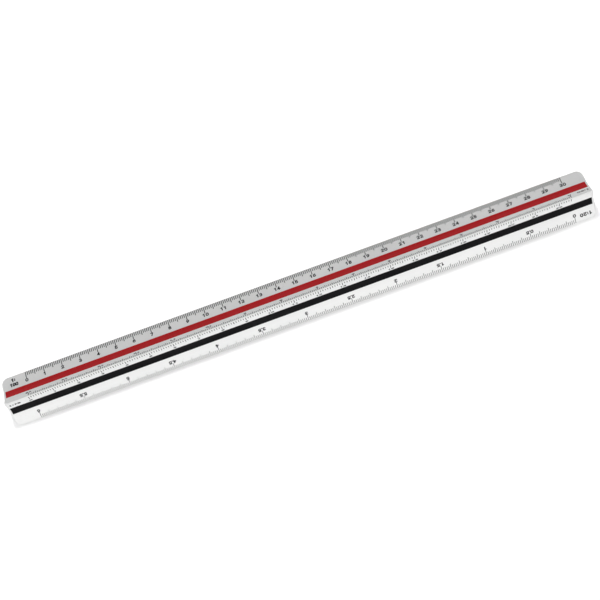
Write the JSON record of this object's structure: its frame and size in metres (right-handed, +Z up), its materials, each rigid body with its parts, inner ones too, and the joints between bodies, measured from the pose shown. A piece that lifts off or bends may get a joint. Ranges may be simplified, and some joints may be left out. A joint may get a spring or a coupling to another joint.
{
  "type": "triangular scale ruler",
  "caption": "Long three-armed drawing ruler of white plastic, with a flute between each two arms and a coloured strip let into each flute's floor.",
  "frame": {"origin": "under the middle of the body, in the plane that its two lower edges rest on", "axes": "+X along the ruler, from the end where the 1:100 scale starts to the other; +Z up, through the top edge; -Y faces the side with the black strip, +Y the side with the red strip"},
  "size_m": [0.326, 0.026, 0.0226],
  "materials": {
    "body_white": "satin moulded white plastic",
    "strip_red": "satin extruded plastic",
    "strip_black": "satin extruded plastic",
    "strip_green": "satin extruded plastic",
    "printed_ink": "thin matt black printing of the scales"
  },
  "bodies": {
    "root": {"ruler_body": "body_white", "red_strip": "strip_red", "black_strip": "strip_black", "green_strip": "strip_green"}
  },
  "joints": []
}
